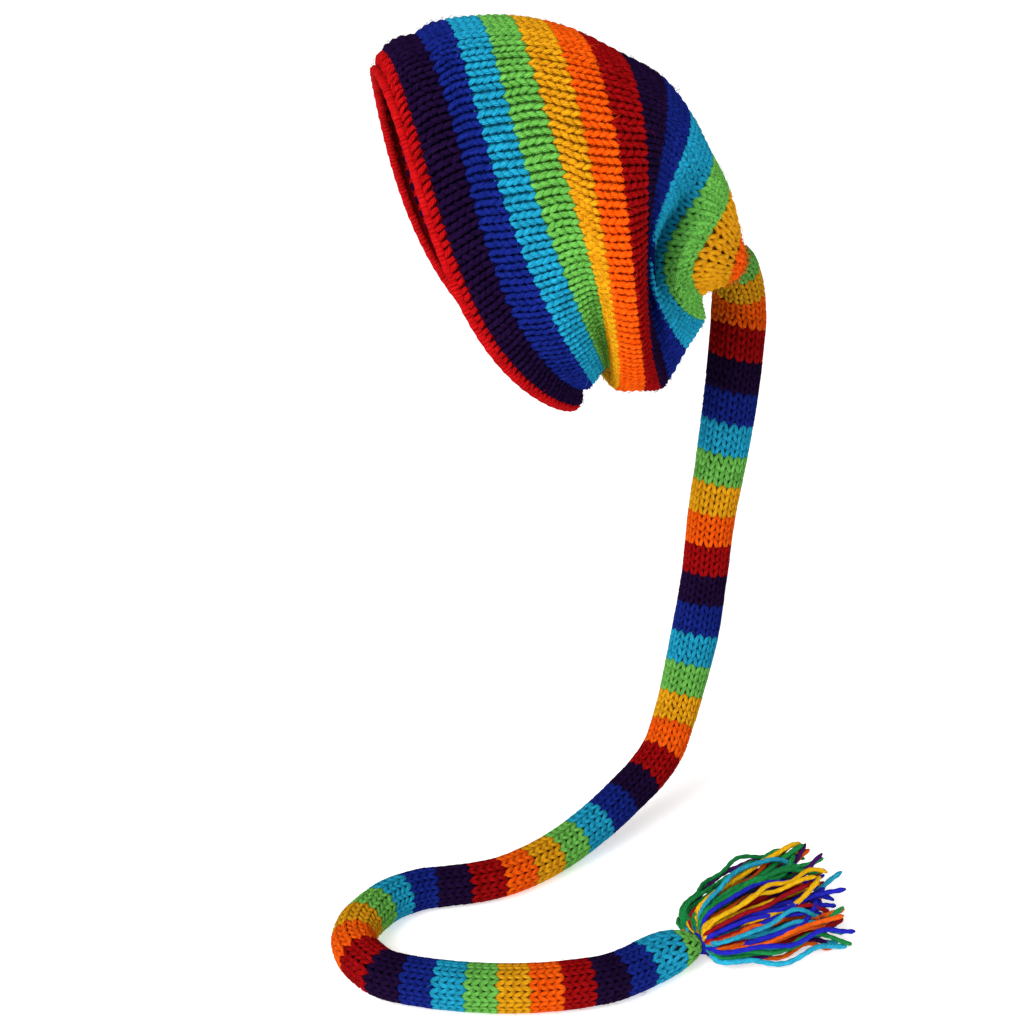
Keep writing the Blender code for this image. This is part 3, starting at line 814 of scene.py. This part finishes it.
def wool_tint(chart, texture, colour):
    """A wool's colour: a darker and a lighter tint, mixed by the texture into uneven dye with painted
    highlights, and scaled by the yarn's tone, which varies at random and also carries painted shade and
    painted light.
    """
    dye_and_highlights = blend_of(chart, texture, DYE_AND_HIGHLIGHTS)
    mixing = chart.add("ShaderNodeMapRange", From_Min=DYE_AND_HIGHLIGHTS_SPAN[0], From_Max=DYE_AND_HIGHLIGHTS_SPAN[1])
    chart.links.new(dye_and_highlights, mixing.inputs["Value"])
    tint = chart.nodes.new("ShaderNodeMix")
    tint.data_type = "RGBA"
    dark = [channel * (DARK_TINT[0] + DARK_TINT[1] * channel) for channel in colour]
    # the lighter tint, mixed in along the streaks, is a painted highlight
    light = [min(1, channel * LIGHT_TINT[0] + LIGHT_TINT[1]) for channel in colour]
    tint.inputs["A"].default_value = (*dark, 1)
    tint.inputs["B"].default_value = (*light, 1)
    chart.links.new(mixing.outputs["Result"], tint.inputs["Factor"])
    tone = chart.nodes.new("ShaderNodeAttribute")
    tone.attribute_name = "yarn_tone_and_painted_shading"
    shade = chart.nodes.new("ShaderNodeVectorMath")
    shade.operation = "SCALE"
    chart.links.new(tint.outputs["Result"], shade.inputs[0])
    chart.links.new(tone.outputs["Fac"], shade.inputs["Scale"])
    return shade.outputs[0]


def wool(name, colour):
    """Matt plied wool: fine strands that wind along the yarn, uneven dye with painted highlights along the
    streaks and a faint bloom at the edges.
    """
    material = bpy.data.materials.new(name + "_wool")
    material.use_nodes = True
    chart = NodeChart(material)
    shader = chart.nodes["Principled BSDF"]
    texture = wool_texture(chart)
    height = blend_of(chart, texture, RELIEF)
    bump = chart.add("ShaderNodeBump", Strength=RELIEF_STRENGTH, Distance=RELIEF_DEPTH)
    chart.links.new(height, bump.inputs["Height"])
    chart.links.new(bump.outputs["Normal"], shader.inputs["Normal"])
    chart.links.new(wool_tint(chart, texture, colour), shader.inputs["Base Color"])
    shader.inputs["Roughness"].default_value = ROUGHNESS
    shader.inputs["Specular IOR Level"].default_value = SPECULAR
    shader.inputs["Sheen Weight"].default_value = SHEEN
    shader.inputs["Sheen Roughness"].default_value = SHEEN_ROUGHNESS
    shader.inputs["Sheen Tint"].default_value = (*[min(1, channel + SHEEN_TINT) for channel in colour], 1)
    return material


WOOLS = [wool(name, colour) for name, colour in YARNS]
TASSEL_WOOLS = [wool(name, colour) for name, colour in TASSEL_YARNS]


def looking(direction):
    """The rotation of a camera or a light that looks this way."""
    return Vector(direction).to_track_quat("-Z", "Y").to_euler()


def make_camera():
    """The camera that takes the picture."""
    bpy.ops.object.camera_add(location=CAMERA_PLACE)
    camera = bpy.context.object
    camera.name = "camera"
    camera.rotation_euler = looking(CAMERA_LOOK)
    camera.data.sensor_width = CAMERA_SENSOR
    camera.data.lens = CAMERA_SENSOR / (PICTURE_PIXELS / FOCAL_PIXELS)
    camera.data.clip_start = CAMERA_CLIP
    bpy.context.scene.camera = camera


def make_floor():
    """A plain white floor."""
    bpy.ops.mesh.primitive_plane_add(size=FLOOR_SIZE, location=(0, 0, FLOOR))
    floor = bpy.context.object
    floor.name = "floor"
    pale = bpy.data.materials.new("pale_floor")
    pale.use_nodes = True
    shader = pale.node_tree.nodes["Principled BSDF"]
    shader.inputs["Base Color"].default_value = FLOOR_PAINT
    shader.inputs["Roughness"].default_value = FLOOR_ROUGHNESS
    shader.inputs["Specular IOR Level"].default_value = FLOOR_SPECULAR
    shader.inputs["Emission Color"].default_value = WHITE
    shader.inputs["Emission Strength"].default_value = FLOOR_GLOW
    floor.data.materials.append(pale)


def make_lights():
    """One broad key light from the wearer's front left, two soft boxes and an even bright surround."""
    bpy.ops.object.light_add(type="SUN", location=KEY_PLACE)
    key = bpy.context.object
    key.name = "key"
    key.rotation_euler = looking(KEY_LOOK)
    key.data.energy = KEY_POWER
    key.data.angle = radians(KEY_ANGLE)
    key.data.color = KEY_COLOUR
    for name, place, target, size, power, colour in SOFT_BOXES:
        bpy.ops.object.light_add(type="AREA", location=place)
        light = bpy.context.object
        light.name = name
        light.rotation_euler = looking(Vector(target) - Vector(place))
        light.data.size = size
        light.data.energy = power
        light.data.color = colour
    world = bpy.data.worlds.new("surround")
    world.use_nodes = True
    surround = world.node_tree.nodes["Background"]
    surround.inputs["Color"].default_value = WHITE
    surround.inputs["Strength"].default_value = SURROUND_STRENGTH
    bpy.context.scene.world = world
    bpy.context.scene.view_settings.view_transform = "Standard"


def make_crown():
    """The rim band and the crown, in real rows of stitches over a thin backing painted dark as shade."""
    fabric = crown_fabric()
    rim = mesh_piece("rim_stitches", rim_parts(fabric), WOOLS)
    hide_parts("rim_band")
    pieces = [rim]
    for name, first, last in CROWN_BANDS:
        parts = knit_band(fabric, range(first, last))
        parts.append(fuzz_part(fabric, first, last, CROWN_FUZZ * (last - first)))
        piece = mesh_piece(name, parts, WOOLS)
        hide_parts("crown")
        pieces.append(piece)
    # painted shade: the backing is darkened so that the gaps between the loops look shaded
    backing = backing_part(fabric, *BACKING_STRIPES, BACKING_DEPTHS, BACKING_PAINTED_SHADE)
    backing = mesh_piece("crown_backing_painted_shade", [backing], WOOLS)
    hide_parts("crown")
    pieces.append(backing)
    for piece in pieces:
        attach(piece, "root")


def make_tail():
    """The tail, rows of stitches over a thin backing painted dark as shade, closed where it is tied, and its
    cord's path.
    """
    fabric = tail_fabric()
    first, last = fabric.stripes[0], fabric.stripes[-1]
    parts = []
    row = int(first * STRIPE_ROWS)
    while (row + ROW_ROOM) / STRIPE_ROWS < last:
        parts.append(grain_part(fabric, (row + 0.5) / STRIPE_ROWS, row // STRIPE_ROWS % len(YARNS)))
        row += 1
    # painted shade: the tail's backing is darkened to shade the gaps between the legs
    parts.append(backing_part(fabric, first, last - TAIL_BACKING_SHORT, TAIL_BACKING_DEPTHS,
                              TAIL_BACKING_PAINTED_SHADE, sides=20, rings_per_stripe=2))
    parts.append(fuzz_part(fabric, first, last, TAIL_FUZZ, TAIL_FUZZ_LENGTHS))
    tail = mesh_piece("tail_stitches", parts, WOOLS)
    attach(tail, "root")
    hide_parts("tail")
    line, _, travelled = tail_line()
    path = [tuple(point) for point in line[1::PATH_STEP]] + [tuple(line[-1])]
    return tail, path, travelled[-1]


def tassel_axes():
    """The middle of the tassel's tie, the tail's direction there, the same laid flat, and across it."""
    end = TAIL_ROUTE[-1][:3]
    onward = unit(end - TAIL_ROUTE[-2][:3])
    flat = unit(np.array((onward[0], onward[1], 0)))
    return end + onward * TIE_PLACE, onward, flat, np.array((-flat[1], flat[0], 0))


def fanned_line(axes, fan, rise, length, share):
    """The middle line of one yarn as it bulges back over the tie, fans out and falls to its height."""
    tie, _, flat, across = axes
    fan_here = fan + CHANCE.normal(0, PLACE_VARIES)
    rise_here = max(LEAST_RISE, rise + CHANCE.normal(0, PLACE_VARIES))
    opened = np.sin(share * pi / 2) ** (LOCK_OPENING - OPENING_EASE + CHANCE.uniform(*OPENING_VARIES))
    reach = TASSEL_LENGTH * (length + CHANCE.uniform(*LENGTH_VARIES))
    least, more = BULGE_SHARES
    back = BULGE * min(1.0, least + abs(fan) * more + rise * more) * CHANCE.uniform(*BULGE_VARIES)
    along = reach * share ** SLACK - back * np.sin(pi * np.clip(share / BULGE_END, 0, 1))
    fallen = FLOOR + rise_here * TASSEL_HEIGHT + LOCK_WIDTH * LOCK_REST
    line = tie + flat * along[:, None] + across * (fan_here * opened * TASSEL_SPREAD / 2)[:, None]
    line[:, 2] = tie[2] + (fallen - tie[2]) * opened
    return line


def sway_in_lock(number, count, whirl, share):
    """How far one yarn of a lock lies aside of and above the lock's middle, with its own waves."""
    tight, middle, end = LOCK_SHARES
    spread = LOCK_WIDTH * (tight + middle * np.sin(pi * share) + end * share)
    spread = spread * np.sqrt((number + CORE_YARN) / count)
    angle = whirl + number * NEXT_ANGLE + share * CHANCE.uniform(-WINDING, WINDING)
    wave = CHANCE.uniform(*WAVE_DEPTH) * share ** 0.5
    beats = CHANCE.uniform(*WAVE_BEATS, 2)
    phase = CHANCE.uniform(0, 2 * pi, 2)
    aside = spread * np.cos(angle) + wave * np.sin(2 * pi * beats[0] * share + phase[0])
    above = spread * np.sin(angle) + wave * np.sin(2 * pi * beats[1] * share + phase[1])
    return aside, above


def strand_paths():
    """The middle lines of the tassel's yarns and their colours, in locks that fan out on the floor."""
    axes = tassel_axes()
    across, up = axes[-1], np.array((0, 0, 1.0))
    share = np.linspace(0, 1, STRAND_POINTS) ** STRAND_CLOSENESS
    late = np.clip((share - FLICK_START) / (1 - FLICK_START), 0, 1) ** 2
    paths, colours = [], []
    letters = [name[0] for name, _ in TASSEL_YARNS]
    for fan, rise, length, yarns in LOCKS:
        whirl = CHANCE.uniform(0, 2 * pi)
        sweep = CHANCE.uniform(*SWEEP_DEPTH) * share
        sweep = sweep * np.sin(2 * pi * CHANCE.uniform(*SWEEP_BEATS) * share + whirl)
        for number, letter in enumerate(yarns):
            line = fanned_line(axes, fan, rise, length, share)
            aside, above = sway_in_lock(number, len(yarns), whirl, share)
            flick = np.clip(CHANCE.normal(0, FLICK, 2), -MOST_FLICK, MOST_FLICK)
            path = line + across * (aside + flick[0] * late)[:, None]
            path = path + up * (above + sweep + flick[1] * late)[:, None]
            path[:, 2] = np.maximum(path[:, 2], FLOOR + STRAND_CLEARANCE)
            paths.append(path)
            colours.append(letters.index(letter))
    return np.array(paths), np.array(colours)


def tie_parts(stations=40, sides=8):
    """The turns of yarn that tie the tassel to the tail."""
    tie, onward, _, _ = tassel_axes()
    side = unit(np.cross(onward, (0, 0, 1.0)))
    above = np.cross(side, onward)
    angles = 2 * pi * np.arange(stations) / stations
    out = np.cos(angles)[:, None] * side + np.sin(angles)[:, None] * above
    radii = np.full((1, stations), TIE_YARN)
    parts = []
    for distance, radius in TIE_TURNS:
        ring = tie + onward * distance + out * radius
        parts.append(tube_part(ring[None], out[None], radii, sides, True, 0, TIE_TONE))
    return parts


def make_tassel():
    """The tassel: loose wavy plied yarns, and the turns of yarn that tie them to the tail."""
    paths, colours = strand_paths()
    count, stations = paths.shape[:2]
    radii = np.full((count, stations), 1.0) * CHANCE.uniform(*STRAND_RADII, count)[:, None]
    radii[:, -2:] *= STRAND_TIP
    upward = np.broadcast_to(np.array(STRAND_UP), paths.shape)
    tones = 1 + CHANCE.normal(0, STRAND_TONE_VARIES, count)
    strands = tube_part(paths, upward, radii, STRAND_SIDES, False, colours, tones, PLIES, PLY_LENGTH)
    tassel = mesh_piece("tassel_yarns", [strands] + tie_parts(), TASSEL_WOOLS)
    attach(tassel, "root")
    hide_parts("tassel")
    return tassel


make_camera()
make_floor()
make_lights()
tail, tail_path, tail_length = make_tail()
tassel = make_tassel()
make_crown()
